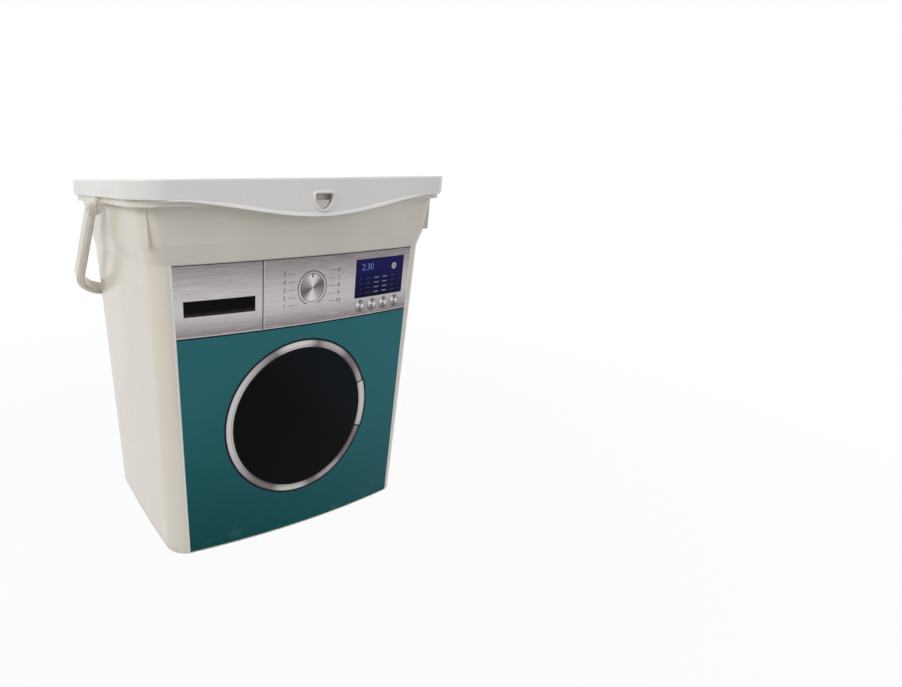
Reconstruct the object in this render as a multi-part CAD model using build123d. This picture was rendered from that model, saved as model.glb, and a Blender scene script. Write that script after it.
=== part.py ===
from build123d import *
import math
import os

# Storage box with a snap-on hinged lid and a swinging carrying bail. Millimetres, +Z up, front at -Y.
# Origin: centre of the whole box in plan, on the ground.

# Outline shared by the lid and the tub
lid_width = 288.0
width_over_depth = 75.4
overall_height = 313.5
front_bow_radius = 820.0
side_bow_radius = 1500.0

# Clearances
running_gap = 0.3
pin_clearance = 0.05
skirt_gap = 0.5
film_gap = 0.12

# Lid
lid_wall = 2.0
lid_corner_radius = 27.0
lid_edge_round = 1.5
skirt_height = 13.3
skirt_front_dip = 15.0
rim_width = 9.0
tray_depth = 9.7
ledge_width = 9.0
ledge_width_back = 16.0
panel_step = 3.3
gate_radius = 3.0
gate_height = 0.4

# Finger window in the front of the skirt, a D with its flat side up
window_width = 16.0
window_straight = 3.2
window_below_top = 11.7
window_corner_round = 1.2
window_frame_width = 1.9
window_frame_proud = 1.0
window_frame_round = 0.6

# Tub
tub_wall = 2.0
floor_thickness = 2.2
band_inset = 8.3
band_taper = 3.4
shoulder_step = 3.95
body_taper = 5.15
band_height = 33.3
shoulder_height = 14.6
band_corner_radius = 15.0
body_corner_radius = 13.0
base_corner_radius = 20.0
foot_ring_width = 14.0
foot_recess = 1.0
base_edge_round = 0.8

# Rim flange of the tub, an upside-down channel
flange_thickness = 2.0
lip_thickness = 2.0
lip_height = 6.4

# Catch behind the finger window
catch_gap = 0.5
catch_below_window_top = 4.6
catch_ledge = 3.0
catch_notch_width = 21.0

# Stacking fins on the corners of the upper band
fin_thickness = 3.3
fin_proud = 5.6
fin_root = 1.2

# Lid hinge at the back
hinge_spacing = 150.0
hinge_arm_width = 12.0
hinge_ear_thickness = 3.0
hinge_pin_radius = 2.0
hinge_eye_radius = 3.8
hinge_ear_radius = 3.6
hinge_setback = 5.5
hinge_drop = 3.7
hinge_arm_height = 7.0

# Carrying bail and its pivots
bail_lid_clearance = 0.8
bail_reach = 129.0
bail_arm_thickness = 6.5
bail_corner_thickness = 8.0
bail_grip_thickness = 5.5
bail_strap_width = 14.0
bail_inner_round = 30.0
bail_edge_chamfer = 2.2
pivot_offset_y = -3.75
pivot_below_lip = 2.8
pivot_pin_radius = 3.0
pivot_pin_proud = 0.7
pivot_ear_radius = 6.5
pivot_ear_tip = 2.4

# Front label film
label_thickness = 0.25
label_bottom = 2.0
label_below_shoulder = 0.4
label_side_margin = 12.5

# Heights worked out from the overall height
lid_top = overall_height
skirt_bottom = lid_top - skirt_height
ledge_top = lid_top - tray_depth
panel_top = ledge_top - panel_step
flange_top = ledge_top - lid_wall - running_gap
lip_bottom = flange_top - lip_height
band_bottom = flange_top - band_height
body_top = band_bottom - shoulder_height
window_top = lid_top - window_below_top

# Half sizes in plan
lid_half = lid_width / 2
half_difference = width_over_depth / 2
lid_half_depth = lid_half - half_difference
flange_inset = lid_wall + skirt_gap
band_top_half = lid_half - band_inset
band_bottom_half = band_top_half - band_taper
body_top_half = band_bottom_half - shoulder_step
base_half = body_top_half - body_taper


def bow(half_span, radius=front_bow_radius):
    """How far the middle of a bowed wall stands out from its ends."""
    return radius - math.sqrt(radius**2 - half_span**2)


def front_of(half_width):
    """Y of the middle of a bowed front."""
    return half_difference - half_width - bow(half_width)


def outline(half_width, corner_radius, height, back_inset=0.0, side_bow=0.0):
    """Level face with a bowed front, a straight back, straight or bowed sides, and round corners."""
    half_depth = half_width - half_difference
    back = half_depth - back_inset
    middle = (back - half_depth) / 2
    front_left = (-half_width, -half_depth)
    front_right = (half_width, -half_depth)
    back_left = (-half_width, back)
    back_right = (half_width, back)
    edges = [
        ThreePointArc(front_left, (0, front_of(half_width)), front_right),
        Line(back_left, back_right),
    ]
    if side_bow > 0:
        edges.append(ThreePointArc(front_left, (-half_width - side_bow, middle), back_left))
        edges.append(ThreePointArc(front_right, (half_width + side_bow, middle), back_right))
    else:
        edges.append(Line(front_left, back_left))
        edges.append(Line(front_right, back_right))
    face = make_face(edges)
    return Pos(0, 0, height) * fillet(face.vertices(), corner_radius)


def lid_outline(inset, height, back_inset=0.0):
    """Outline of the lid, moved in by an even margin."""
    return outline(lid_half - inset, lid_corner_radius - inset, height, back_inset)


def lid_slab(inset, bottom, top, back_inset=0.0):
    """Solid between two heights with the lid's outline, moved in by an even margin."""
    return extrude(lid_outline(inset, bottom, back_inset), top - bottom)


def body_half_width(height):
    """Half width of the outside of the body below its shoulder."""
    return base_half + body_taper * height / body_top


def body_back(height):
    """Y of the outside of the back wall below the shoulder."""
    return body_half_width(height) - half_difference


def tub_outline(half_width, corner_radius, height, inset):
    """Outline of the tub at one height, moved in by an even margin."""
    side_bow = bow(half_width - half_difference, side_bow_radius)
    return outline(half_width - inset, corner_radius - inset, height, side_bow=side_bow)


def tub_block(inset, bottom, top):
    """Tapered block with the tub's outside walls, moved in by an even margin."""
    levels = (
        (body_half_width(bottom), base_corner_radius, bottom),
        (body_top_half, body_corner_radius, body_top),
        (band_bottom_half, band_corner_radius, band_bottom),
        (band_top_half, band_corner_radius, top),
    )
    return loft([tub_outline(*level, inset) for level in levels], ruled=True)


def d_face(half_width, arc_height, top, corner_round):
    """D shape in the XZ plane: flat top with round corners, straight sides and a half-round bottom."""
    upper_edges = Polyline(
        (-half_width, arc_height), (-half_width, top), (half_width, top), (half_width, arc_height)
    )
    bottom = ThreePointArc(
        (half_width, arc_height), (0, arc_height - half_width), (-half_width, arc_height)
    )
    face = make_face(upper_edges + bottom)
    return fillet(face.vertices().sort_by(Axis.Y)[-2:], corner_round)


def front_prism(face, y_near, y_far):
    """Solid from a face drawn in the XZ plane, between two Y positions."""
    return Pos(0, y_near, 0) * extrude(Plane.XZ * face, y_near - y_far)


def side_prism(face, x_low, x_high):
    """Solid from a face drawn in the YZ plane, between two X positions."""
    return Pos(x_low, 0, 0) * extrude(Plane.YZ * face, x_high - x_low)


def rod(radius, x_low, x_high, y, z):
    """Round bar along X."""
    bar = Cylinder(radius, x_high - x_low, rotation=(0, 90, 0))
    return Pos((x_low + x_high) / 2, y, z) * bar


# Places of the pivots
lid_front = front_of(lid_half)
skirt_inner_front = front_of(lid_half - lid_wall)
hinge_y = lid_half_depth + hinge_setback
hinge_z = skirt_bottom - hinge_drop
hinge_centres = (-hinge_spacing / 2, hinge_spacing / 2)
pivot_z = lip_bottom - pivot_below_lip
bail_inner = lid_half + bail_lid_clearance
bail_outer = bail_inner + bail_arm_thickness
pivot_ear_outer = bail_inner - running_gap
window_arc_height = window_top - window_straight


def bail_rest_angle(wall_y_at_ground, wall_slope):
    """Angle below the level at which the near edge of the grip comes to rest on a sloping wall."""
    half_strap = bail_strap_width / 2
    across = bail_reach + wall_slope * half_strap
    down = wall_slope * bail_reach - half_strap
    distance = wall_y_at_ground + wall_slope * pivot_z + running_gap * math.hypot(1, wall_slope)
    return math.atan2(down, across) + math.acos(distance / math.hypot(across, down))


back_slope = (body_back(body_top) - body_back(0)) / body_top
rest_angle = bail_rest_angle(body_back(0) - pivot_offset_y, back_slope)


def make_tub():
    """Thin-walled tub with its flange, fins, catch, hinge ears and bail pivots."""
    tub = tub_block(0, 0, flange_top)
    base_edges = tub.faces().sort_by(Axis.Z)[0].edges()
    tub = fillet(base_edges, base_edge_round)

    plate = lid_slab(flange_inset, lip_bottom, flange_top)
    plate -= lid_slab(flange_inset + lip_thickness, lip_bottom, flange_top - flange_thickness)
    notch = Pos(0, flange_top) * Rectangle(catch_notch_width, 2 * band_height)
    plate -= front_prism(notch, front_of(band_top_half), lid_front)
    tub += plate

    corner_x = band_bottom_half - band_corner_radius
    corner_y = corner_x - half_difference
    fin_reach = band_corner_radius + fin_proud
    fin_height = flange_top - flange_thickness / 2 - band_bottom
    fin_start = band_corner_radius - fin_root
    for side in (-1, 1):
        for end in (-1, 1):
            turn = math.degrees(math.atan2(end, side))
            fin = Pos((fin_start + fin_reach) / 2, 0, band_bottom + fin_height / 2) * Box(
                fin_reach - fin_start, fin_thickness, fin_height
            )
            tub += Pos(side * corner_x, end * corner_y, 0) * Rot(0, 0, turn) * fin

    catch_half = window_width / 2 - catch_gap
    catch_top = window_top - catch_below_window_top
    catch_front = skirt_inner_front + running_gap
    backing = d_face(catch_notch_width / 2, window_arc_height, flange_top, window_corner_round)
    tub += front_prism(backing, front_of(band_bottom_half), catch_front + catch_ledge)
    catch = d_face(catch_half, window_arc_height, window_top, window_corner_round)
    catch &= Pos(0, catch_top - window_width) * Rectangle(2 * window_width, 2 * window_width)
    tub += front_prism(catch, front_of(band_bottom_half), catch_front)

    half_strap = bail_strap_width / 2
    ear_top = skirt_bottom - 2 * running_gap
    ear_inner_top = lid_half - flange_inset - lip_thickness
    ear_side = make_face(
        Polyline(
            (ear_inner_top, ear_top),
            (pivot_ear_outer, ear_top),
            (pivot_ear_outer, pivot_z - pivot_ear_radius),
            (pivot_ear_outer - pivot_ear_tip, pivot_z - pivot_ear_radius),
            close=True,
        )
    )
    ear_front = Pos(pivot_offset_y, pivot_z) * Circle(pivot_ear_radius)
    ear_front += Pos(pivot_offset_y, (pivot_z + ear_top) / 2) * Rectangle(
        2 * pivot_ear_radius, ear_top - pivot_z
    )
    for side in (-1, 1):
        ear = front_prism(ear_side, pivot_offset_y + half_strap, pivot_offset_y - half_strap)
        ear &= side_prism(ear_front, ear_inner_top, pivot_ear_outer)
        pin_start = pivot_ear_outer - pivot_ear_tip
        ear += rod(pivot_pin_radius, pin_start, bail_outer + pivot_pin_proud, pivot_offset_y, pivot_z)
        tub += ear if side > 0 else mirror(ear, about=Plane.YZ)

    lip_back = lid_half_depth - flange_inset
    ear_root = lip_back - lip_thickness / 2
    root_height = skirt_bottom - 3 * running_gap - lip_bottom
    root = Pos(ear_root, lip_bottom + root_height / 2) * Rectangle(lip_thickness / 2, root_height)
    knuckle = Pos(hinge_y, hinge_z) * Circle(hinge_ear_radius)
    ear_face = make_hull(root.edges() + knuckle.edges())
    inner_reach = hinge_arm_width / 2 + running_gap
    outer_reach = inner_reach + hinge_ear_thickness
    for centre in hinge_centres:
        tub += side_prism(ear_face, centre - outer_reach, centre - inner_reach)
        tub += side_prism(ear_face, centre + inner_reach, centre + outer_reach)
        tub += rod(hinge_pin_radius, centre - outer_reach, centre + outer_reach, hinge_y, hinge_z)

    tub -= tub_block(tub_wall, floor_thickness, flange_top + lip_height)
    tub -= extrude(outline(base_half - foot_ring_width, base_corner_radius, 0), foot_recess)
    return tub


def make_lid():
    """Lid with a recessed top, an overhanging skirt, the finger window and two hinge arms."""
    dip_bottom = skirt_bottom - skirt_front_dip
    shell = lid_slab(0, dip_bottom, lid_top)
    rim_edges = shell.faces().sort_by(Axis.Z)[-1].edges()
    shell = fillet(rim_edges, lid_edge_round)
    shell -= lid_slab(lid_wall, dip_bottom, lid_top - lid_wall)

    smile = Spline(
        (-lid_half, skirt_bottom), (0, dip_bottom), (lid_half, skirt_bottom),
        tangents=((1, 0), (1, 0), (1, 0)),
    )
    below = dip_bottom - lid_wall
    under_edges = Polyline(
        (lid_half, skirt_bottom), (lid_half, below), (-lid_half, below), (-lid_half, skirt_bottom)
    )
    under_smile = make_face(smile + under_edges)
    shell -= front_prism(under_smile, 0, 2 * lid_front)
    back_cut_height = skirt_bottom - below
    shell -= Pos(0, lid_half_depth, below + back_cut_height / 2) * Box(
        2 * lid_width, 2 * lid_half_depth, back_cut_height
    )

    panel_inset = rim_width + ledge_width
    panel_back = ledge_width_back - ledge_width
    shell += lid_slab(rim_width - lid_wall, ledge_top - lid_wall, lid_top - lid_wall / 2)
    shell += lid_slab(panel_inset - lid_wall, panel_top - lid_wall, ledge_top, panel_back)
    shell -= lid_slab(rim_width, ledge_top, lid_top)
    shell -= lid_slab(panel_inset, panel_top, ledge_top, panel_back)
    shell += Pos(0, 0, panel_top + gate_height / 2) * Cylinder(gate_radius, gate_height)

    half_window = window_width / 2
    half_frame = half_window + window_frame_width
    frame_corner = window_corner_round + window_frame_width
    opening = d_face(half_window, window_arc_height, window_top, window_corner_round)
    frame = d_face(half_frame, window_arc_height, window_top + window_frame_width, frame_corner)
    bead = front_prism(frame, lid_front + lid_wall / 2, lid_front - window_frame_proud)
    bead_edges = bead.faces().sort_by(Axis.Y)[0].edges()
    shell += fillet(bead_edges, window_frame_round)
    shell -= front_prism(opening, lid_front + 2 * lid_wall, lid_front - 2 * window_frame_proud)

    root_bottom = skirt_bottom + lid_wall / 2
    root = Pos(lid_half_depth - lid_wall / 4, root_bottom + hinge_arm_height / 2) * Rectangle(
        lid_wall / 2, hinge_arm_height
    )
    knuckle = Pos(hinge_y, hinge_z) * Circle(hinge_eye_radius)
    arm_face = make_hull(root.edges() + knuckle.edges())
    for centre in hinge_centres:
        arm = side_prism(arm_face, centre - hinge_arm_width / 2, centre + hinge_arm_width / 2)
        bore_start = centre - hinge_arm_width
        bore_end = centre + hinge_arm_width
        arm -= rod(hinge_pin_radius + pin_clearance, bore_start, bore_end, hinge_y, hinge_z)
        shell += arm
    return shell


def make_bail():
    """Carrying bail: a strap with two arms, round corners and a level grip, hanging behind the tub."""
    corner_outer = bail_inner + bail_corner_thickness
    outer = make_face(
        Polyline(
            (-bail_outer, 0),
            (-corner_outer, bail_reach + bail_grip_thickness),
            (corner_outer, bail_reach + bail_grip_thickness),
            (bail_outer, 0),
            close=True,
        )
    )
    outer_corners = outer.vertices().sort_by(Axis.Y)[-2:]
    outer = fillet(outer_corners, bail_inner_round + bail_grip_thickness)
    inner = Pos(0, bail_reach / 2) * Rectangle(2 * bail_inner, bail_reach)
    inner_corners = inner.vertices().sort_by(Axis.Y)[-2:]
    inner = fillet(inner_corners, bail_inner_round)
    strap = extrude(outer - inner, bail_strap_width / 2, both=True)
    rims = strap.faces().sort_by(Axis.Z)
    strap = chamfer(rims[0].edges() + rims[-1].edges(), bail_edge_chamfer)

    for side in (-1, 1):
        low, high = sorted((side * bail_inner, side * bail_outer))
        strap += rod(bail_strap_width / 2, low, high, 0, 0)
        strap -= rod(pivot_pin_radius + pin_clearance, low - lid_wall, high + lid_wall, 0, 0)

    hang = Plane(
        origin=(0, pivot_offset_y, pivot_z),
        x_dir=(1, 0, 0),
        z_dir=(0, math.sin(rest_angle), math.cos(rest_angle)),
    )
    return hang.location * strap


def make_label():
    """Printed film that covers the front wall below the shoulder."""
    film = tub_block(-film_gap - label_thickness, 0, flange_top) - tub_block(-film_gap, 0, flange_top)
    label_top = body_top - label_below_shoulder
    bottom_half = body_half_width(label_bottom) - label_side_margin
    top_half = body_half_width(label_top) - label_side_margin
    cover = make_face(
        Polyline(
            (-bottom_half, label_bottom),
            (bottom_half, label_bottom),
            (top_half, label_top),
            (-top_half, label_top),
            close=True,
        )
    )
    return film & front_prism(cover, 0, lid_front)


back_end = hinge_y + hinge_eye_radius
front_end = lid_front - window_frame_proud
centred = Pos(0, -(back_end + front_end) / 2, 0)

os.makedirs("parts", exist_ok=True)
export_step(centred * make_tub(), "parts/tub.step")
export_step(centred * make_lid(), "parts/lid.step")
export_step(centred * make_bail(), "parts/bail_handle.step")
export_step(centred * make_label(), "parts/front_label.step")
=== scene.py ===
"""Looks of a detergent storage box: moulded plastics, printed front film, studio and camera."""

import logging
import math
from dataclasses import dataclass
from enum import Enum
from typing import Any

import bmesh
import bpy
from mathutils import Matrix, Vector


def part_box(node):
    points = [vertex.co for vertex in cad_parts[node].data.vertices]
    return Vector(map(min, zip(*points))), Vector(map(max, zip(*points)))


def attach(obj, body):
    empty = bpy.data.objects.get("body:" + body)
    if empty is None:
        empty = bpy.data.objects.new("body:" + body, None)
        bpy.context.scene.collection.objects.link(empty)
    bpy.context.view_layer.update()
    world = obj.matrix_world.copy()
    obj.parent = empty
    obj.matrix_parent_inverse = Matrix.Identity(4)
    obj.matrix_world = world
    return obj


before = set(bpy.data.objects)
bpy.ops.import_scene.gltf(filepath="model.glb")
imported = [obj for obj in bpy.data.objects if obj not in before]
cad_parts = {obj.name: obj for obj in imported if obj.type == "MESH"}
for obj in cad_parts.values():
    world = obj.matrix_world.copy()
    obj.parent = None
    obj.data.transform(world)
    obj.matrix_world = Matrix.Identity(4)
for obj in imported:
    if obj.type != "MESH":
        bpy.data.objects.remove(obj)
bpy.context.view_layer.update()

LOG = logging.getLogger("storage_box")
MILLIMETRE = 0.001
FILM_GLOSS = 0.03
IN_FRONT = -1.0
TOWARD_BACK = Vector((0.0, 1.0, 0.0))

Colour = tuple[float, float, float, float]
Pair = tuple[float, float]
Triple = tuple[float, float, float]
Shade = bpy.types.NodeSocket | Colour


class Piece(Enum):
    """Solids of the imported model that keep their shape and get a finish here."""

    TUB = "tub"
    LID = "lid"
    BAIL = "bail_handle"
    FILM = "front_label"


class Body(Enum):
    """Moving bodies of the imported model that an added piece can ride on."""

    BOX = "box"
    LID = "lid"


def paint(red: int, green: int, blue: int) -> Colour:
    """Turn a colour as seen on a screen into the linear one that shaders take.

    Args:
        red: Red from 0 to 255.
        green: Green from 0 to 255.
        blue: Blue from 0 to 255.

    Returns:
        Linear red, green, blue and a full alpha.
    """
    linear = []
    for channel in (red, green, blue):
        share = channel / 255
        if share <= 0.04045:
            linear.append(share / 12.92)
        else:
            linear.append(((share + 0.055) / 1.055) ** 2.4)
    return (linear[0], linear[1], linear[2], 1.0)


def moved(place: Pair, by: Pair) -> Pair:
    """A place on the film, moved across and up."""
    return (place[0] + by[0], place[1] + by[1])


def front_skin(solid: bpy.types.Object, across: float, up: float) -> tuple[bool, Vector, Vector]:
    """Look at a solid from the front and find the skin that is met first.

    Args:
        solid: The solid's object.
        across: Place across, in metres.
        up: Height, in metres.

    Returns:
        Whether a skin was met, the point on it and its outward direction.
    """
    met, point, outward, _ = solid.ray_cast(Vector((across, IN_FRONT, up)), TOWARD_BACK)
    return met, point, outward


def add_object(
    name: str,
    shape: bmesh.types.BMesh,
    material: bpy.types.Material,
) -> bpy.types.Object:
    """Turn a shape into an object of the scene.

    Args:
        name: Name of the object and of its mesh.
        shape: Its shape, which is used up.
        material: Its material.

    Returns:
        The object.
    """
    mesh = bpy.data.meshes.new(name)
    shape.to_mesh(mesh)
    shape.free()
    mesh.materials.append(material)
    made = bpy.data.objects.new(name, mesh)
    bpy.context.scene.collection.objects.link(made)
    return made


@dataclass(frozen=True)
class Field:
    """A number that varies over a surface, held as one output socket of a node graph."""

    graph: "Graph"
    socket: bpy.types.NodeSocket

    def math(self, operation: str, *others: "Field | float") -> "Field":
        """Apply one Math node to this field.

        Args:
            operation: Name of the Math node's operation.
            others: The other numbers or fields that the operation takes.

        Returns:
            The field that comes out of the node.
        """
        values = dict(enumerate((self, *others)))
        made = self.graph.node("ShaderNodeMath", {"operation": operation}, values)
        return Field(self.graph, made.outputs[0])

    def __add__(self, other: "Field | float") -> "Field":
        """Sum."""
        return self.math("ADD", other)

    def __radd__(self, other: float) -> "Field":
        """Sum with a number on the left."""
        return self.math("ADD", other)

    def __sub__(self, other: "Field | float") -> "Field":
        """Difference."""
        return self.math("SUBTRACT", other)

    def __rsub__(self, other: float) -> "Field":
        """Difference from a number on the left."""
        return self.math("MULTIPLY_ADD", -1.0, other)

    def __mul__(self, other: "Field | float") -> "Field":
        """Product."""
        return self.math("MULTIPLY", other)

    def __rmul__(self, other: float) -> "Field":
        """Product with a number on the left."""
        return self.math("MULTIPLY", other)

    def __truediv__(self, other: "Field | float") -> "Field":
        """Quotient."""
        return self.math("DIVIDE", other)

    def __rtruediv__(self, other: float) -> "Field":
        """Quotient of a number on the left."""
        return self.math("POWER", -1.0) * other

    def __abs__(self) -> "Field":
        """Size without sign."""
        return self.math("ABSOLUTE")

    def larger(self, other: "Field | float") -> "Field":
        """The larger of two."""
        return self.math("MAXIMUM", other)

    def smaller(self, other: "Field | float") -> "Field":
        """The smaller of two."""
        return self.math("MINIMUM", other)

    def hypotenuse(self, other: "Field") -> "Field":
        """Length of the line with these two legs."""
        return (self * self + other * other).math("SQRT")

    def angle_from(self, level: "Field") -> "Field":
        """Angle of the point with this height and that level distance, in radians."""
        return self.math("ARCTAN2", level)

    def cosine(self) -> "Field":
        """Cosine of an angle in radians."""
        return self.math("COSINE")

    def held(self) -> "Field":
        """Kept between 0 and 1."""
        made = self.graph.node("ShaderNodeClamp", {}, {"Value": self})
        return Field(self.graph, made.outputs[0])

    def stepped(self, pitch: float) -> "Field":
        """Distance from the nearest middle of evenly spaced steps."""
        return self - self.math("SNAP", pitch) - pitch / 2

    def ramp(self, low: float, high: float) -> "Field":
        """Make a smooth rise.

        Args:
            low: Value at which it leaves 0.
            high: Value at which it reaches 1.

        Returns:
            The rise as a field.
        """
        values = {"Value": self, "From Min": low, "From Max": high}
        made = self.graph.node("ShaderNodeMapRange", {"interpolation_type": "SMOOTHSTEP"}, values)
        return Field(self.graph, made.outputs["Result"])


@dataclass(frozen=True)
class Clouds:
    """Cells of a cloudy noise in a metre along each axis, its octaves and their weight."""

    cells: Triple
    detail: float = 2.0
    roughness: float = 0.5


class Graph:
    """Node graph of a material or of the surroundings, with the ways to add nodes to it."""

    def __init__(self, owner: bpy.types.Material | bpy.types.World) -> None:
        """Take over the nodes of a material or a world, starting with none.

        Args:
            owner: The material or the world.
        """
        self.owner = owner
        owner.use_nodes = True
        self.tree = owner.node_tree
        self.tree.nodes.clear()

    def node(self, kind: str, settings: dict[str, Any], values: dict[Any, Any]) -> bpy.types.Node:
        """Add a node.

        Args:
            kind: Blender's name of the node type.
            settings: Properties of the node, set first.
            values: Numbers, colours, fields or sockets for its inputs.

        Returns:
            The new node.
        """
        made = self.tree.nodes.new(kind)
        for name, setting in settings.items():
            setattr(made, name, setting)
        for name, value in values.items():
            socket = made.inputs[name]
            if isinstance(value, Field):
                self.tree.links.new(value.socket, socket)
            elif isinstance(value, bpy.types.NodeSocket):
                self.tree.links.new(value, socket)
            else:
                socket.default_value = value
        return made

    def place(self) -> bpy.types.NodeSocket:
        """Place on the object, in metres of the shared frame."""
        return self.node("ShaderNodeTexCoord", {}, {}).outputs["Object"]

    def axes(self, place: bpy.types.NodeSocket) -> tuple[Field, Field, Field]:
        """The three coordinates of a place, in millimetres."""
        split = self.node("ShaderNodeSeparateXYZ", {}, {"Vector": place})
        return tuple(Field(self, split.outputs[axis]) * (1 / MILLIMETRE) for axis in "XYZ")

    def noise(self, place: bpy.types.NodeSocket, clouds: Clouds) -> Field:
        """Cloudy noise about a middle of one half.

        Args:
            place: Place on the object.
            clouds: Size and fineness of the noise.

        Returns:
            The noise as a field.
        """
        settings = {"operation": "MULTIPLY"}
        stretched = self.node("ShaderNodeVectorMath", settings, {0: place, 1: clouds.cells})
        values = {
            "Vector": stretched.outputs["Vector"],
            "Scale": 1.0,
            "Detail": clouds.detail,
            "Roughness": clouds.roughness,
        }
        return Field(self, self.node("ShaderNodeTexNoise", {}, values).outputs[0])

    def mix(self, under: Shade, over: Shade, share: Field, blend: str = "MIX") -> bpy.types.NodeSocket:
        """Lay one colour over another.

        Args:
            under: Colour below.
            over: Colour on top.
            share: How much of the top one shows.
            blend: Blend mode.

        Returns:
            Socket of the mixed colour.
        """
        settings = {"data_type": "RGBA", "blend_type": blend}
        return self.node("ShaderNodeMix", settings, {0: share, 6: under, 7: over}).outputs[2]

    def grey(self, level: Field) -> bpy.types.NodeSocket:
        """Grey of a varying level."""
        values = {axis: level for axis in ("Red", "Green", "Blue")}
        return self.node("ShaderNodeCombineColor", {}, values).outputs[0]

    def bump(
        self,
        height: Field,
        strength: float,
        distance: float,
        edge: float,
    ) -> bpy.types.NodeSocket:
        """Surface normal with a fine relief and softened edges.

        Args:
            height: Relief as a field.
            strength: Strength of the relief.
            distance: Depth of the relief in metres.
            edge: Radius that sharp edges are softened to, in metres.

        Returns:
            Socket of the normal.
        """
        soft = self.node("ShaderNodeBevel", {"samples": 6}, {"Radius": edge})
        values = {
            "Strength": strength,
            "Distance": distance,
            "Height": height,
            "Normal": soft.outputs["Normal"],
        }
        return self.node("ShaderNodeBump", {}, values).outputs["Normal"]

    def surface(self, values: dict[str, Any]) -> bpy.types.Material:
        """Finish the material with one principled surface.

        Args:
            values: Numbers, colours and fields for the surface's inputs.

        Returns:
            The finished material.
        """
        shader = self.node("ShaderNodeBsdfPrincipled", {}, values)
        self.node("ShaderNodeOutputMaterial", {}, {"Surface": shader.outputs[0]})
        return self.owner


@dataclass(frozen=True)
class MouldedPlastic:
    """Glossy injection-moulded plastic with flow clouds, a faint peel, scuffs and dust."""

    name: str
    colour: Colour
    clouded: Colour
    dusty: Colour
    roughness: float
    edge_round: float = 0.6 * MILLIMETRE
    flow: Clouds = Clouds((14.0, 14.0, 5.0), detail=3.0)
    flow_range: Pair = (0.3, 0.7)
    flow_roughness: float = 0.06
    flow_relief: float = 0.5
    peel: Clouds = Clouds((420.0, 420.0, 420.0))
    relief_strength: float = 0.12
    relief_depth: float = 0.1 * MILLIMETRE
    scuff: Clouds = Clouds((260.0, 260.0, 30.0), detail=4.0, roughness=0.65)
    scuff_range: Pair = (0.58, 0.75)
    scuff_roughness: float = 0.1
    dust: Clouds = Clouds((90.0, 90.0, 90.0), detail=5.0, roughness=0.7)
    dust_range: Pair = (0.6, 0.8)
    dust_share: float = 0.1
    dust_roughness: float = 0.3
    ground_dust: float = 0.5
    ground_height: float = 9.0
    refraction: float = 1.49
    depth_share: float = 0.08
    depth_radius: Triple = (0.004, 0.004, 0.004)

    def material(self) -> bpy.types.Material:
        """Build the plastic's material.

        Returns:
            The material.
        """
        graph = Graph(bpy.data.materials.new(self.name))
        place = graph.place()
        height = graph.axes(place)[2]
        flow = graph.noise(place, self.flow)
        peel = graph.noise(place, self.peel)
        scuff = graph.noise(place, self.scuff)
        dust = graph.noise(place, self.dust)
        near_ground = 1.0 - height.ramp(0.0, self.ground_height)
        specks = dust.ramp(*self.dust_range) * self.dust_share
        dust_cover = (specks + near_ground * dust * self.ground_dust).held()
        clean = graph.mix(self.colour, self.clouded, flow.ramp(*self.flow_range))
        scuffed = scuff.ramp(*self.scuff_range) * self.scuff_roughness
        dulled = scuffed + flow * self.flow_roughness + dust_cover * self.dust_roughness
        relief = peel + flow * self.flow_relief
        return graph.surface(
            {
                "Base Color": graph.mix(clean, self.dusty, dust_cover),
                "Roughness": dulled + self.roughness,
                "Normal": graph.bump(relief, self.relief_strength, self.relief_depth, self.edge_round),
                "IOR": self.refraction,
                "Subsurface Weight": self.depth_share,
                "Subsurface Radius": self.depth_radius,
                "Subsurface Scale": 1.0,
            }
        )


@dataclass(frozen=True)
class Ink:
    """Flat printing ink with a little uneven cover."""

    name: str
    colour: Colour
    thin: Colour
    speckle: Clouds = Clouds((900.0, 900.0, 900.0), detail=3.0)
    speckle_range: Pair = (0.45, 0.75)
    speckle_roughness: float = 0.1
    roughness: float = 0.32

    def material(self) -> bpy.types.Material:
        """Build the ink's material.

        Returns:
            The material.
        """
        graph = Graph(bpy.data.materials.new(self.name))
        speckle = graph.noise(graph.place(), self.speckle)
        return graph.surface(
            {
                "Base Color": graph.mix(self.colour, self.thin, speckle.ramp(*self.speckle_range)),
                "Roughness": speckle * self.speckle_roughness + self.roughness,
                "Specular IOR Level": FILM_GLOSS,
            }
        )


@dataclass(frozen=True)
class Inks:
    """Colours that the printed parts of the film share."""

    silver: Colour = paint(228, 224, 228)
    silver_dark: Colour = paint(120, 110, 114)
    silver_bright: Colour = paint(250, 248, 250)
    black: Colour = paint(15, 15, 15)
    line: Colour = paint(36, 34, 38)
    pale_line: Colour = paint(222, 220, 222)
    paper: Colour = paint(236, 234, 230)


INKS = Inks()


@dataclass(frozen=True)
class FilmFace:
    """Face of the film while it is printed: its graph and the place on it. Millimetres."""

    graph: Graph
    place: bpy.types.NodeSocket
    across: Field
    up: Field
    edge: float = 0.35

    def cover(self, distance: Field) -> Field:
        """Share of ink at a distance outside a printed edge."""
        return (0.5 - distance / self.edge).held()

    def stripe(self, along: Field, middle: float, half_width: float) -> Field:
        """Ink of a straight line.

        Args:
            along: Place across or height on the film.
            middle: Where the line's middle is.
            half_width: Half the width of the line.

        Returns:
            The share of ink.
        """
        return self.cover(abs(along - middle) - half_width)

    def block(self, centre: Pair, size: Pair) -> Field:
        """Distance outside an upright rectangle.

        Args:
            centre: Middle of the rectangle.
            size: Its width and height.

        Returns:
            The distance, negative inside.
        """
        sideways = abs(self.across - centre[0]) - size[0] / 2
        upward = abs(self.up - centre[1]) - size[1] / 2
        return sideways.larger(upward)

    def around(self, centre: Pair) -> tuple[Field, Field, Field]:
        """Measure from a centre.

        Args:
            centre: The centre.

        Returns:
            The level distance, the height and the straight distance.
        """
        level = self.across - centre[0]
        height = self.up - centre[1]
        return level, height, level.hypotenuse(height)


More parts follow.
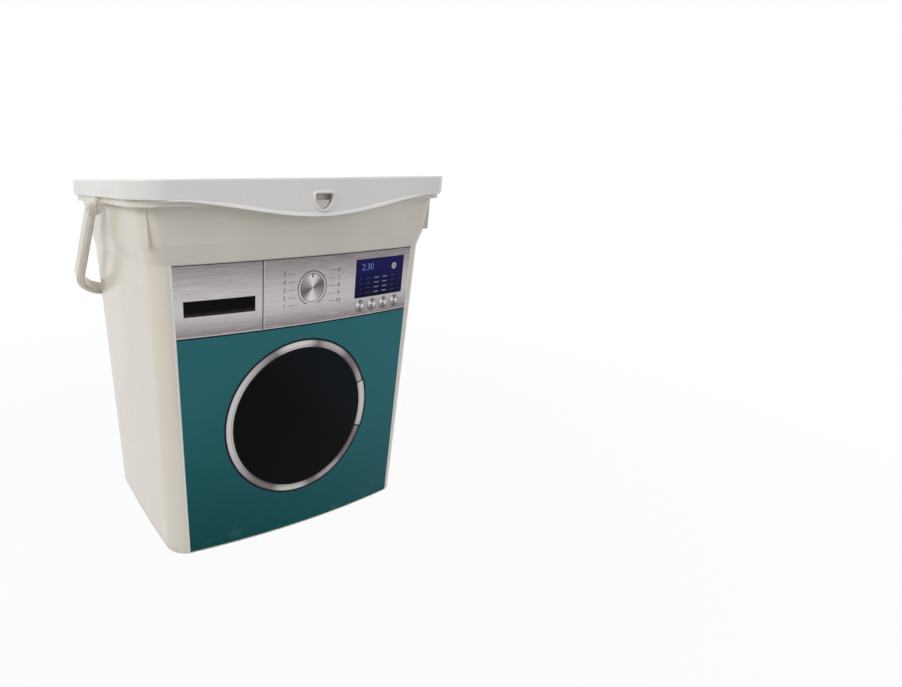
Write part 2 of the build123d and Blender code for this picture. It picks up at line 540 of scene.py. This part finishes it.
@dataclass(frozen=True)
class SpunMetal:
    """Look of turned metal, whose brightness fans out from its centre. Radians and shares."""

    phase: float
    fan: float = 0.5
    finer_fan: float = 0.14
    finer_phase: float = 0.9
    middle: float = 0.5

    def colour(self, graph: Graph, level: Field, height: Field) -> bpy.types.NodeSocket:
        """Build the colour.

        Args:
            graph: Graph of the film's material.
            level: Distance across from the centre.
            height: Distance up from the centre.

        Returns:
            Socket of the colour.
        """
        turn = height.angle_from(level) * 2.0 + self.phase
        finer = (turn * 2.0 + self.finer_phase).cosine() * self.finer_fan
        lit = turn.cosine() * self.fan + finer + self.middle
        return graph.mix(INKS.silver_dark, INKS.silver_bright, lit.held())


@dataclass(frozen=True)
class Glint:
    """A bright stretch of a turned metal ring. Degrees from the right, and added brightness."""

    direction: float
    spread: float
    strength: float

    def over(self, turn: Field) -> Field:
        """Added brightness at an angle in radians."""
        facing = (turn - math.radians(self.direction)).cosine()
        return facing.ramp(math.cos(math.radians(self.spread)), 1.0) * self.strength


@dataclass(frozen=True)
class BrushedPanel:
    """Brushed metal panel with its lines, its seam and the drawer's slot. Millimetres."""

    bottom: float = 197.2
    top: float = 253.2
    glow_height: float = 219.0
    shade_past_top: float = 9.0
    shade_past_bottom: float = 7.0
    upper_shade: float = 0.8
    lower_shade: float = 0.95
    fine: Clouds = Clouds((45.0, 1.0, 1900.0), detail=3.0, roughness=0.6)
    broad: Clouds = Clouds((12.0, 1.0, 420.0))
    fine_share: float = 0.9
    fine_share_in_shade: float = 0.6
    broad_share: float = 0.6
    shine_range: Pair = (0.26, 0.42)
    shine_share: float = 0.35
    foot_half: float = 0.5
    gap_half: float = 0.6
    pale_share: float = 0.8
    seam_across: float = -41.8
    seam_half: float = 0.45
    slot_centre: Pair = (-77.6, 219.8)
    slot_size: Pair = (58.2, 12.3)
    slot_rim: float = 0.7
    slot_rim_share: float = 0.7
    slot_fade: float = 4.0
    slot_brown: Colour = paint(58, 48, 48)
    head_line: float = 0.8
    head_share: float = 0.8

    def brushed(self, face: FilmFace) -> bpy.types.NodeSocket:
        """Build the colour of the brushed metal.

        Args:
            face: Face of the film.

        Returns:
            Socket of the colour.
        """
        graph = face.graph
        fine = graph.noise(face.place, self.fine)
        broad = graph.noise(face.place, self.broad)
        upper = face.up.ramp(self.glow_height, self.top + self.shade_past_top)
        lower = 1.0 - face.up.ramp(self.bottom - self.shade_past_bottom, self.glow_height)
        dark = upper * self.upper_shade + lower * self.lower_shade
        fine_streaks = (fine - 0.5) * (dark * self.fine_share_in_shade + self.fine_share)
        streaks = fine_streaks + (broad - 0.5) * self.broad_share
        metal = graph.mix(INKS.silver, INKS.silver_dark, (dark + streaks).held())
        shine = (fine * broad).ramp(*self.shine_range) * self.shine_share
        return graph.mix(metal, INKS.silver_bright, shine)

    def slot(self, face: FilmFace, under: Shade) -> bpy.types.NodeSocket:
        """Lay the drawer's slot over the panel.

        Args:
            face: Face of the film.
            under: Colour below.

        Returns:
            Socket of the colour.
        """
        graph = face.graph
        opening = face.block(self.slot_centre, self.slot_size)
        rim = face.cover(opening - self.slot_rim) * self.slot_rim_share
        colour = graph.mix(under, INKS.pale_line, rim)
        foot = self.slot_centre[1] - self.slot_size[1] / 2
        depth = graph.mix(self.slot_brown, INKS.black, (face.up - foot).ramp(0.0, self.slot_fade))
        return graph.mix(colour, depth, face.cover(opening))

    def lay(self, face: FilmFace, under: Shade) -> bpy.types.NodeSocket:
        """Lay the panel over the field.

        Args:
            face: Face of the film.
            under: Colour below.

        Returns:
            Socket of the colour.
        """
        graph = face.graph
        above = face.cover(self.bottom - face.up)
        colour = graph.mix(under, self.brushed(face), above)
        foot = face.stripe(face.up, self.bottom + self.foot_half, self.foot_half)
        colour = graph.mix(colour, INKS.pale_line, foot * self.pale_share)
        gap = face.stripe(face.up, self.bottom - self.gap_half, self.gap_half)
        colour = graph.mix(colour, INKS.line, gap)
        beside = face.stripe(face.across, self.seam_across + 2 * self.seam_half, self.seam_half)
        colour = graph.mix(colour, INKS.pale_line, beside * above * self.pale_share)
        seam = face.stripe(face.across, self.seam_across, self.seam_half)
        colour = graph.mix(colour, INKS.line, seam * above)
        colour = self.slot(face, colour)
        head = face.cover(self.top - self.head_line - face.up)
        return graph.mix(colour, INKS.line, head * self.head_share)


@dataclass(frozen=True)
class Dial:
    """Knob with an open ring, a pointer and leader lines. Millimetres, radians and shares."""

    centre: Pair = (3.9, 227.2)
    knob_radius: float = 11.4
    metal: SpunMetal = SpunMetal(3.0)
    rim_half: float = 0.4
    rim_share: float = 0.55
    ring_radius: float = 13.9
    ring_half: float = 0.35
    ring_opening: Pair = (0.34, 0.38)
    pointer_half: Pair = (0.6, 1.6)
    pointer_inset: float = 1.2
    leader_pitch: float = 6.5
    leader_reach: Pair = (16.5, 23.5)
    leader_half: float = 0.22
    leader_rows: float = 2.4
    leader_share: float = 0.7

    def leaders(self, face: FilmFace, level: Field, height: Field) -> Field:
        """Ink of the leader lines on both sides.

        Args:
            face: Face of the film.
            level: Distance across from the centre.
            height: Distance up from the centre.

        Returns:
            The share of ink.
        """
        near, far = self.leader_reach
        line = abs((height + self.leader_pitch / 2).stepped(self.leader_pitch)) - self.leader_half
        reach = abs(abs(level) - (near + far) / 2) - (far - near) / 2
        rows = abs(height) - self.leader_pitch * self.leader_rows
        return face.cover(line.larger(reach).larger(rows)) * self.leader_share

    def lay(self, face: FilmFace, under: Shade) -> bpy.types.NodeSocket:
        """Lay the dial over the panel.

        Args:
            face: Face of the film.
            under: Colour below.

        Returns:
            Socket of the colour.
        """
        graph = face.graph
        level, height, radius = face.around(self.centre)
        turn = abs(level.angle_from(height * -1.0))
        ring = face.stripe(radius, self.ring_radius, self.ring_half)
        colour = graph.mix(under, INKS.line, ring * turn.ramp(*self.ring_opening))
        metal = self.metal.colour(graph, level, height)
        colour = graph.mix(colour, metal, face.cover(radius - self.knob_radius))
        rim = face.stripe(radius, self.knob_radius, self.rim_half)
        colour = graph.mix(colour, INKS.line, rim * self.rim_share)
        beside = abs(level) - self.pointer_half[0]
        beyond = abs(height - self.knob_radius + self.pointer_inset) - self.pointer_half[1]
        colour = graph.mix(colour, INKS.line, face.cover(beside.larger(beyond)))
        return graph.mix(colour, INKS.line, self.leaders(face, level, height))


@dataclass(frozen=True)
class Display:
    """Dark window with a lit ring and rows of lit dashes. Millimetres and shares."""

    centre: Pair = (77.5, 229.8)
    size: Pair = (56.4, 32.4)
    rim: float = 0.6
    navy: Colour = paint(34, 36, 98)
    navy_deep: Colour = paint(22, 23, 62)
    glow: Colour = paint(160, 156, 184)
    ring_offset: Pair = (16.7, 8.1)
    ring_radius: float = 2.3
    ring_half: float = 0.45
    dot_radius: float = 0.9
    dash_offset: Pair = (1.0, -6.6)
    dash_pitch: Pair = (10.0, 4.2)
    dash_half: Pair = (2.9, 0.45)
    dash_area: Pair = (48.0, 16.8)
    dash_share: float = 0.85
    dash_fade: Pair = (9.0, 11.0)
    dash_dimming: float = 0.7

    def dashes(self, face: FilmFace) -> Field:
        """Light of the rows of dashes, dimmer away from their middle.

        Args:
            face: Face of the film.

        Returns:
            The share of light.
        """
        middle = moved(self.centre, self.dash_offset)
        level = face.across - middle[0]
        height = face.up - middle[1]
        column = abs(level.stepped(self.dash_pitch[0])) - self.dash_half[0]
        row = abs(height.stepped(self.dash_pitch[1])) - self.dash_half[1]
        area = face.block(middle, self.dash_area)
        lit = self.dash_share - abs(level).ramp(*self.dash_fade) * self.dash_dimming
        return face.cover(column.larger(row).larger(area)) * lit

    def lay(self, face: FilmFace, under: Shade) -> bpy.types.NodeSocket:
        """Lay the display over the panel.

        Args:
            face: Face of the film.
            under: Colour below.

        Returns:
            Socket of the colour.
        """
        graph = face.graph
        window = face.block(self.centre, self.size)
        foot = self.centre[1] - self.size[1] / 2
        depth = graph.mix(self.navy_deep, self.navy, (face.up - foot).ramp(0.0, self.size[1]))
        colour = graph.mix(under, INKS.line, face.cover(window - self.rim))
        colour = graph.mix(colour, depth, face.cover(window))
        radius = face.around(moved(self.centre, self.ring_offset))[2]
        ring = abs(radius - self.ring_radius) - self.ring_half
        ring_and_dot = ring.smaller(radius - self.dot_radius)
        colour = graph.mix(colour, INKS.paper, face.cover(ring_and_dot))
        return graph.mix(colour, self.glow, self.dashes(face))


@dataclass(frozen=True)
class ButtonRow:
    """Row of round metal buttons under the display. Millimetres and shares."""

    count: int = 4
    start: float = 55.8
    pitch: float = 14.0
    height: float = 206.4
    radius: float = 4.8
    metal: SpunMetal = SpunMetal(0.4)
    shadow_drop: float = 0.7
    shadow_margin: float = 0.6
    shadow_share: float = 0.6

    def lay(self, face: FilmFace, under: Shade) -> bpy.types.NodeSocket:
        """Lay the buttons over the panel.

        Args:
            face: Face of the film.
            under: Colour below.

        Returns:
            Socket of the colour.
        """
        graph = face.graph
        first = self.start - self.pitch / 2
        last = first + self.count * self.pitch
        level = (face.across - first).stepped(self.pitch)
        height = face.up - self.height
        row = face.cover((first - face.across).larger(face.across - last))
        fallen = level.hypotenuse(height + self.shadow_drop) - self.radius - self.shadow_margin
        colour = graph.mix(under, INKS.line, face.cover(fallen) * row * self.shadow_share)
        metal = self.metal.colour(graph, level, height)
        return graph.mix(colour, metal, face.cover(level.hypotenuse(height) - self.radius) * row)


@dataclass(frozen=True)
class RoundDoor:
    """Round door with a metal ring, a latch and dark glass. Millimetres, radians and shares."""

    centre: Pair = (-3.2, 111.3)
    radius: float = 73.2
    glass_radius: float = 64.6
    glass_sheen: Colour = paint(18, 23, 28)
    seal: float = 0.9
    latch_radius: float = 74.3
    latch_span: Pair = (-0.335, 0.33)
    latch_glow: float = 0.26
    latch_line_half: float = 0.5
    latch_facing: Pair = (0.5, 0.6)
    ring_inset: float = 1.8
    ring_dimmest: float = 0.1
    ring_flat: float = 0.25
    ring_rounding: float = 0.35
    step_out: float = 2.6
    step_half: float = 0.25
    step_share: float = 0.6
    glints: tuple[Glint, ...] = (
        Glint(170.0, 62.0, 0.68),
        Glint(95.0, 19.0, 0.8),
        Glint(62.0, 16.0, 0.43),
        Glint(5.0, 32.0, 0.45),
        Glint(-62.0, 16.0, 0.3),
        Glint(-97.0, 18.0, 0.65),
    )

    def ring(self, graph: Graph, radius: Field, turn: Field, latch: Field) -> bpy.types.NodeSocket:
        """Build the colour of the metal ring, brightest at its glints and along its middle.

        Args:
            graph: Graph of the film's material.
            radius: Distance from the door's centre.
            turn: Angle round the centre.
            latch: Where the latch is.

        Returns:
            Socket of the colour.
        """
        middle = (self.glass_radius + self.radius) / 2
        off_middle = abs(radius - middle) / (self.radius - middle)
        lit = latch * self.latch_glow + self.ring_dimmest
        for glint in self.glints:
            lit = lit + glint.over(turn)
        rounded = off_middle.ramp(self.ring_flat, 1.0) * self.ring_rounding
        return graph.mix(INKS.silver_dark, INKS.silver_bright, (lit - rounded).held())

    def lay(self, face: FilmFace, under: Shade) -> bpy.types.NodeSocket:
        """Lay the door over the field.

        Args:
            face: Face of the film.
            under: Colour below.

        Returns:
            Socket of the colour.
        """
        graph = face.graph
        level, height, radius = face.around(self.centre)
        turn = height.angle_from(level)
        low, high = self.latch_span
        latch = face.cover((low - turn).larger(turn - high) * self.radius)
        outer = latch * (self.latch_radius - self.radius) + self.radius
        disc = face.cover(radius - outer)
        colour = graph.mix(under, INKS.line, disc)
        metal = self.ring(graph, radius, turn, latch)
        colour = graph.mix(colour, metal, face.cover(radius - outer + self.ring_inset))
        step = face.stripe(radius, self.glass_radius + self.step_out, self.step_half)
        colour = graph.mix(colour, INKS.silver_dark, step * self.step_share)
        from_end = abs((turn - low) * (turn - high)) * self.radius
        latch_ends = face.cover(from_end - self.latch_line_half)
        on_latch_side = turn.cosine().ramp(*self.latch_facing)
        colour = graph.mix(colour, INKS.line, latch_ends * disc * on_latch_side)
        colour = graph.mix(colour, INKS.line, face.cover(radius - self.glass_radius - self.seal))
        glass = graph.mix(INKS.black, self.glass_sheen, (level + height).ramp(0.0, self.radius))
        return graph.mix(colour, glass, face.cover(radius - self.glass_radius))


@dataclass(frozen=True)
class FilmPrint:
    """Print on the front film: a brushed panel over a teal field with a round door. Millimetres."""

    panel: BrushedPanel = BrushedPanel()
    dial: Dial = Dial()
    display: Display = Display()
    buttons: ButtonRow = ButtonRow()
    door: RoundDoor = RoundDoor()
    half_width_bottom: float = 110.7
    width_growth: float = 0.02031
    margin: float = 1.6
    teal: Colour = paint(55, 118, 128)
    teal_deep: Colour = paint(21, 79, 82)
    teal_worn: Colour = paint(66, 114, 112)
    fade_up: Pair = (-60.0, 200.0)
    fade_up_share: float = 0.75
    fade_across: Pair = (-110.0, 110.0)
    fade_across_share: float = 0.3
    wash: Clouds = Clouds((9.0, 1.0, 9.0))
    wash_share: float = 0.35
    smear: Clouds = Clouds((40.0, 1.0, 60.0), detail=5.0, roughness=0.7)
    rub_range: Pair = (0.52, 0.72)
    rub_height: Pair = (4.0, 42.0)
    rub_share: float = 0.5
    grain: Clouds = Clouds((1500.0, 1500.0, 1500.0))
    grain_share: float = 0.05
    roughness: float = 0.3
    grain_roughness: float = 0.06
    smear_roughness: float = 0.1
    grain_relief: float = 0.02
    relief_strength: float = 0.08
    relief_depth: float = 0.3 * MILLIMETRE
    edge_round: float = 0.1 * MILLIMETRE

    def field(self, face: FilmFace, wash: Field, smear: Field) -> bpy.types.NodeSocket:
        """Build the colour of the teal field, paler upwards and rubbed near its foot.

        Args:
            face: Face of the film.
            wash: Broad clouds of the ink.
            smear: Finer smears of wear.

        Returns:
            Socket of the colour.
        """
        graph = face.graph
        rising = face.up.ramp(*self.fade_up) * self.fade_up_share
        leaning = face.across.ramp(*self.fade_across) * self.fade_across_share
        paleness = rising + leaning + (wash - 0.5) * self.wash_share
        colour = graph.mix(self.teal_deep, self.teal, paleness.held())
        near_foot = 1.0 - face.up.ramp(*self.rub_height)
        rubbed = smear.ramp(*self.rub_range) * near_foot * self.rub_share
        return graph.mix(colour, self.teal_worn, rubbed)

    def material(self) -> bpy.types.Material:
        """Build the film's material with the whole print.

        Returns:
            The material.
        """
        graph = Graph(bpy.data.materials.new("printed_film"))
        place = graph.place()
        across, _, up = graph.axes(place)
        face = FilmFace(graph, place, across, up)
        wash = graph.noise(place, self.wash)
        grain = graph.noise(place, self.grain)
        smear = graph.noise(place, self.smear)
        colour = self.field(face, wash, smear)
        for printed in (self.panel, self.dial, self.display, self.buttons, self.door):
            colour = printed.lay(face, colour)
        half_width = up * self.width_growth + (self.half_width_bottom - self.margin)
        colour = graph.mix(colour, INKS.paper, face.cover(half_width - abs(across)))
        colour = graph.mix(colour, graph.grey(grain), grain * self.grain_share, "OVERLAY")
        dulled = grain * self.grain_roughness + smear * self.smear_roughness
        relief = wash + grain * self.grain_relief
        return graph.surface(
            {
                "Base Color": colour,
                "Roughness": dulled + self.roughness,
                "Normal": graph.bump(relief, self.relief_strength, self.relief_depth, self.edge_round),
                "Specular IOR Level": FILM_GLOSS,
            }
        )


@dataclass
class Numbers:
    """Printed numbers that lie on the film. Type and places in millimetres."""

    film_print: FilmPrint
    ink_thickness: float = 0.03 * MILLIMETRE
    weld: float = 0.001 * MILLIMETRE
    curve_steps: int = 4
    dial_size: float = 4.8
    dial_gap: float = 3.2
    dial_rows: int = 5
    dial_ink: Ink = Ink("dial_ink", paint(38, 35, 40), paint(70, 66, 72))
    time: str = "2:30"
    time_size: float = 8.0
    time_offset: Pair = (-15.3, 9.5)
    time_ink: Ink = Ink("display_ink", paint(120, 142, 214), paint(150, 168, 226))

    def lettered(self, text: str, size: float) -> bpy.types.Mesh:
        """Thin mesh of some digits, centred on the origin.

        Args:
            text: The digits.
            size: Height of the type in millimetres.

        Returns:
            The mesh.
        """
        curve = bpy.data.curves.new("digits", "FONT")
        curve.body = text
        curve.size = size * MILLIMETRE
        curve.extrude = self.ink_thickness / 2
        curve.align_x = "CENTER"
        curve.align_y = "CENTER"
        curve.resolution_u = self.curve_steps
        holder = bpy.data.objects.new("digits", curve)
        mesh = bpy.data.meshes.new_from_object(holder)
        bpy.data.objects.remove(holder)
        bpy.data.curves.remove(curve)
        return mesh

    def laid(
        self,
        shape: bmesh.types.BMesh,
        film: bpy.types.Object,
        text: str,
        size: float,
        place: Pair,
    ) -> None:
        """Add some digits to a shape, laid on the film.

        Args:
            shape: Shape that takes the digits.
            film: The film's object.
            text: The digits.
            size: Height of the type in millimetres.
            place: Place across and height on the film, in millimetres.
        """
        mesh = self.lettered(text, size)
        for vertex in mesh.vertices:
            x = vertex.co.x + place[0] * MILLIMETRE
            z = vertex.co.y + place[1] * MILLIMETRE
            skin = front_skin(film, x, z)[1]
            proud = vertex.co.z + self.ink_thickness / 2
            vertex.co = Vector((x, skin.y - proud, z))
        shape.from_mesh(mesh)
        bpy.data.meshes.remove(mesh)

    def piece(self, name: str, shape: bmesh.types.BMesh, ink: Ink) -> bpy.types.Object:
        """Turn a shape into a piece of the box.

        Args:
            name: Name of the piece.
            shape: Its shape, which is used up.
            ink: Its finish.

        Returns:
            The piece.
        """
        bmesh.ops.remove_doubles(shape, verts=shape.verts, dist=self.weld)
        made = add_object(name, shape, ink.material())
        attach(made, Body.BOX.value)
        return made

    def dial(self, film: bpy.types.Object) -> bpy.types.Object:
        """Number the positions of the dial, up its left side and down its right.

        Args:
            film: The film's object.

        Returns:
            The piece.
        """
        shape = bmesh.new()
        dial = self.film_print.dial
        reach = dial.leader_reach[1] + self.dial_gap
        for row in range(self.dial_rows):
            rise = (row - self.dial_rows // 2) * dial.leader_pitch
            left = moved(dial.centre, (-reach, rise))
            right = moved(dial.centre, (reach, rise))
            self.laid(shape, film, str(row + 1), self.dial_size, left)
            self.laid(shape, film, str(2 * self.dial_rows - row), self.dial_size, right)
        return self.piece("dial_numbers", shape, self.dial_ink)

    def display(self, film: bpy.types.Object) -> bpy.types.Object:
        """Show a time in the display.

        Args:
            film: The film's object.

        Returns:
            The piece.
        """
        shape = bmesh.new()
        place = moved(self.film_print.display.centre, self.time_offset)
        self.laid(shape, film, self.time, self.time_size, place)
        return self.piece("display_time", shape, self.time_ink)


@dataclass
class FlaredLip:
    """Flared lip along the front of the lid's lower edge. Millimetres."""

    half_span: float = 130.0
    fade: float = 60.0
    share_at_end: float = 0.05
    stations: int = 129
    above_edge: float = 2.0
    climb: float = 1.0
    edge_error: float = 0.01
    section: tuple[Pair, ...] = (
        (-0.6, 2.9),
        (0.0, 2.9),
        (0.25, 2.3),
        (0.5, 1.7),
        (0.72, 1.1),
        (0.86, 0.6),
        (0.86, 0.25),
        (0.7, 0.0),
        (-0.6, 0.0),
    )

    def front_of(self, lid: bpy.types.Object, across: float, up: float) -> tuple[Vector, Vector] | None:
        """Find the lid's front skin.

        Args:
            lid: The lid's object.
            across: Place across the lid.
            up: Height on the lid.

        Returns:
            Point on the skin and its outward direction, or nothing below the lid's edge.
        """
        met, point, outward = front_skin(lid, across * MILLIMETRE, up * MILLIMETRE)
        if not met or point.y > 0.0:
            return None
        return point, outward

    def edge_height(self, lid: bpy.types.Object, across: float) -> float:
        """Find the height of the lid's lower edge.

        Args:
            lid: The lid's object.
            across: Place across the lid.

        Returns:
            The height of the first skin met from below.
        """
        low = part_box(Piece.LID.value)[0][2] / MILLIMETRE
        while self.front_of(lid, across, low + self.climb) is None:
            low += self.climb
        high = low + self.climb
        while high - low > self.edge_error:
            middle = (low + high) / 2
            if self.front_of(lid, across, middle) is None:
                low = middle
            else:
                high = middle
        return high

    def cut(
        self,
        shape: bmesh.types.BMesh,
        lid: bpy.types.Object,
        across: float,
    ) -> list[bmesh.types.BMVert]:
        """Add one cross-section of the lip.

        Args:
            shape: Shape that takes the section.
            lid: The lid's object.
            across: Place across the lid.

        Returns:
            Its vertices in order.
        """
        share = min(1.0, self.share_at_end + (self.half_span - abs(across)) / self.fade)
        edge = self.edge_height(lid, across)
        skin, outward = self.front_of(lid, across, edge + self.above_edge)
        foot = Vector((skin.x, skin.y, edge * MILLIMETRE))
        level = Vector((outward.x, outward.y, 0.0)).normalized()
        corners = []
        for proud, rise in self.section:
            away = level * (min(proud, proud * share) * MILLIMETRE)
            upward = Vector((0.0, 0.0, rise * share * MILLIMETRE))
            corners.append(shape.verts.new(foot + away + upward))
        return corners

    def build(self, lid: bpy.types.Object) -> bpy.types.Object:
        """Run the lip along the lid's front.

        Args:
            lid: The lid's object, which also gives the finish.

        Returns:
            The piece.
        """
        shape = bmesh.new()
        step = 2 * self.half_span / (self.stations - 1)
        places = [station * step - self.half_span for station in range(self.stations)]
        cuts = [self.cut(shape, lid, across) for across in places]
        corners = len(self.section)
        for before, after in zip(cuts, cuts[1:]):
            for corner in range(corners):
                following = (corner + 1) % corners
                shape.faces.new((before[corner], before[following], after[following], after[corner]))
        shape.faces.new(cuts[0])
        shape.faces.new(cuts[-1])
        bmesh.ops.recalc_face_normals(shape, faces=shape.faces)
        for face in shape.faces:
            face.smooth = True
        made = add_object("lid_lip", shape, lid.data.materials[0])
        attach(made, Body.LID.value)
        return made


@dataclass
class StorageBox:
    """The tub, lid, bail and front film with their finishes."""

    tub_plastic: MouldedPlastic = MouldedPlastic(
        name="warm_white_plastic",
        colour=paint(229, 225, 217),
        clouded=paint(224, 219, 210),
        dusty=paint(178, 170, 158),
        roughness=0.16,
    )
    lid_plastic: MouldedPlastic = MouldedPlastic(
        name="cool_white_plastic",
        colour=paint(235, 235, 235),
        clouded=paint(230, 230, 231),
        dusty=paint(190, 186, 180),
        roughness=0.2,
    )
    # The bail is moulded in the tub's plastic; its colours here are a little darker than the tub's, as
    # painted shade.
    bail_plastic_with_painted_shade: MouldedPlastic = MouldedPlastic(
        name="bail_plastic_with_painted_shade",
        colour=paint(226, 221, 212),
        clouded=paint(220, 213, 203),
        dusty=paint(160, 150, 136),
        roughness=0.2,
    )
    film_print: FilmPrint = FilmPrint()

    def dress(self, piece: Piece, material: bpy.types.Material) -> None:
        """Give one solid of the model its finish.

        Args:
            piece: The solid.
            material: Its material.
        """
        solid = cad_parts[piece.value]
        solid.data.materials.clear()
        solid.data.materials.append(material)
        LOG.info("dressed %s in %s", piece.value, material.name)

    def dress_all(self) -> None:
        """Dress the four solids."""
        self.dress(Piece.TUB, self.tub_plastic.material())
        self.dress(Piece.LID, self.lid_plastic.material())
        self.dress(Piece.BAIL, self.bail_plastic_with_painted_shade.material())
        self.dress(Piece.FILM, self.film_print.material())

    def trim(self) -> None:
        """Run the lip along the lid's lower edge."""
        made = FlaredLip().build(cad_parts[Piece.LID.value])
        LOG.info("ran %s along the lid", made.name)

    def number(self) -> None:
        """Lay the printed numbers on the film."""
        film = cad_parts[Piece.FILM.value]
        numbers = Numbers(self.film_print)
        for made in (numbers.dial(film), numbers.display(film)):
            LOG.info("laid %s on the film", made.name)


@dataclass(frozen=True)
class SoftBox:
    """An upright studio lamp that faces the box. Metres and watts."""

    name: str
    place: Triple
    size: Pair
    power: float
    colour: Triple

    def build(self, aim: Vector) -> None:
        """Hang the lamp.

        Args:
            aim: Point that it faces.
        """
        lamp = bpy.data.lights.new(self.name, "AREA")
        lamp.shape = "RECTANGLE"
        lamp.size, lamp.size_y = self.size
        lamp.energy = self.power
        lamp.color = self.colour
        holder = bpy.data.objects.new(self.name, lamp)
        holder.location = self.place
        holder.rotation_mode = "QUATERNION"
        holder.rotation_quaternion = (aim - Vector(self.place)).to_track_quat("-Z", "Y")
        bpy.context.scene.collection.objects.link(holder)


@dataclass(frozen=True)
class Camera:
    """Camera that sees the box as the photograph does. Degrees, metres and picture shares."""

    azimuth: float = -27.613
    elevation: float = 18.361
    roll: float = -0.589
    distance: float = 0.56647
    aim_height: float = 0.1348
    aim_depth: float = 0.00222
    sensor: float = 36.0
    lens: float = 22.096
    shift_across: float = 0.2203
    shift_up: float = 0.0203
    nearest: float = 0.01
    farthest: float = 100.0

    def build(self) -> None:
        """Set up the scene's camera."""
        lens = bpy.data.cameras.new("camera")
        lens.sensor_width = self.sensor
        lens.lens = self.lens
        lens.shift_x = self.shift_across
        lens.shift_y = self.shift_up
        lens.clip_start = self.nearest
        lens.clip_end = self.farthest
        turn = Matrix.Rotation(math.radians(self.azimuth), 4, "Z")
        tilt = Matrix.Rotation(math.radians(90.0 - self.elevation), 4, "X")
        roll = Matrix.Rotation(math.radians(self.roll), 4, "Z")
        aim = Matrix.Translation((0.0, self.aim_depth, self.aim_height))
        back = Matrix.Translation((0.0, 0.0, self.distance))
        holder = bpy.data.objects.new("camera", lens)
        holder.matrix_world = aim @ turn @ tilt @ back @ roll
        bpy.context.scene.collection.objects.link(holder)
        bpy.context.scene.camera = holder


@dataclass(frozen=True)
class Studio:
    """Pale floor, even surroundings and soft lamps. Metres, with the shadow in millimetres."""

    floor_half: float = 12.0
    floor_dull: Colour = paint(206, 205, 203)
    floor_bright: Colour = paint(213, 212, 210)
    floor_grain: Clouds = Clouds((60.0, 60.0, 60.0), detail=3.0)
    floor_share_white: float = 0.94
    shadow_reach: Pair = (220.0, 900.0)
    white: Colour = (1.0, 1.0, 1.0, 1.0)
    ambient: float = 0.29
    lamp_aim: Triple = (0.0, 0.0, 0.16)
    lamps: tuple[SoftBox, ...] = (
        SoftBox("key_lamp", (-1.9, -0.5, 1.6), (1.1, 1.1), 27.0, (1.0, 0.965, 0.905)),
        SoftBox("fill_lamp", (1.2, -1.9, 1.0), (1.2, 1.2), 8.0, (1.0, 0.97, 0.98)),
        SoftBox("back_lamp", (1.0, 2.0, 1.0), (1.3, 1.3), 16.0, (1.0, 0.99, 0.97)),
        SoftBox("top_lamp", (-0.1, -0.5, 2.1), (1.4, 1.4), 11.0, (1.0, 1.0, 1.0)),
    )

    def shown(self, graph: Graph) -> Field:
        """Whether a ray comes straight from the camera, a glossy surface or a clear one.

        Args:
            graph: Graph that gets the nodes.

        Returns:
            Field that is 1 for such a ray and 0 for others.
        """
        path = graph.node("ShaderNodeLightPath", {}, {})
        found = Field(graph, path.outputs["Is Camera Ray"])
        for name in ("Is Glossy Ray", "Is Transmission Ray"):
            found = found.larger(Field(graph, path.outputs[name]))
        return found

    def floor_material(self) -> bpy.types.Material:
        """Build the floor's material, nearly white to the eye.

        Returns:
            The material.
        """
        graph = Graph(bpy.data.materials.new("pale_floor"))
        place = graph.place()
        pale = graph.mix(self.floor_dull, self.floor_bright, graph.noise(place, self.floor_grain))
        matt = graph.node("ShaderNodeBsdfDiffuse", {}, {"Color": pale})
        white = graph.node("ShaderNodeEmission", {}, {"Strength": 1.0})
        across, along, _ = graph.axes(place)
        away = across.hypotenuse(along).ramp(*self.shadow_reach)
        whiteness = away * (1 - self.floor_share_white) + self.floor_share_white
        values = {0: self.shown(graph) * whiteness, 1: matt.outputs[0], 2: white.outputs[0]}
        both = graph.node("ShaderNodeMixShader", {}, values)
        graph.node("ShaderNodeOutputMaterial", {}, {"Surface": both.outputs[0]})
        return graph.owner

    def floor(self) -> None:
        """Lay a pale floor that keeps a soft shadow."""
        shape = bmesh.new()
        bmesh.ops.create_grid(shape, x_segments=2, y_segments=2, size=self.floor_half)
        made = add_object("floor", shape, self.floor_material())

    def surroundings(self) -> None:
        """Even light from all sides, with a white backdrop to the eye."""
        world = bpy.data.worlds.new("studio")
        bpy.context.scene.world = world
        graph = Graph(world)
        even = graph.node("ShaderNodeBackground", {}, {"Color": self.white, "Strength": self.ambient})
        backdrop = graph.node("ShaderNodeBackground", {}, {"Color": self.white, "Strength": 1.0})
        values = {0: self.shown(graph), 1: even.outputs[0], 2: backdrop.outputs[0]}
        both = graph.node("ShaderNodeMixShader", {}, values)
        graph.node("ShaderNodeOutputWorld", {}, {"Surface": both.outputs[0]})

    def build(self) -> None:
        """Set up the floor, the surroundings and the lamps."""
        self.floor()
        self.surroundings()
        for lamp in self.lamps:
            lamp.build(Vector(self.lamp_aim))
        bpy.context.scene.view_settings.view_transform = "Standard"


def main() -> None:
    """Build the camera, the studio and the box's looks."""
    logging.basicConfig(level=logging.INFO, format="%(name)s: %(message)s")
    Camera().build()
    Studio().build()
    box = StorageBox()
    box.dress_all()
    box.trim()
    box.number()


if __name__ == "__main__":
    main()
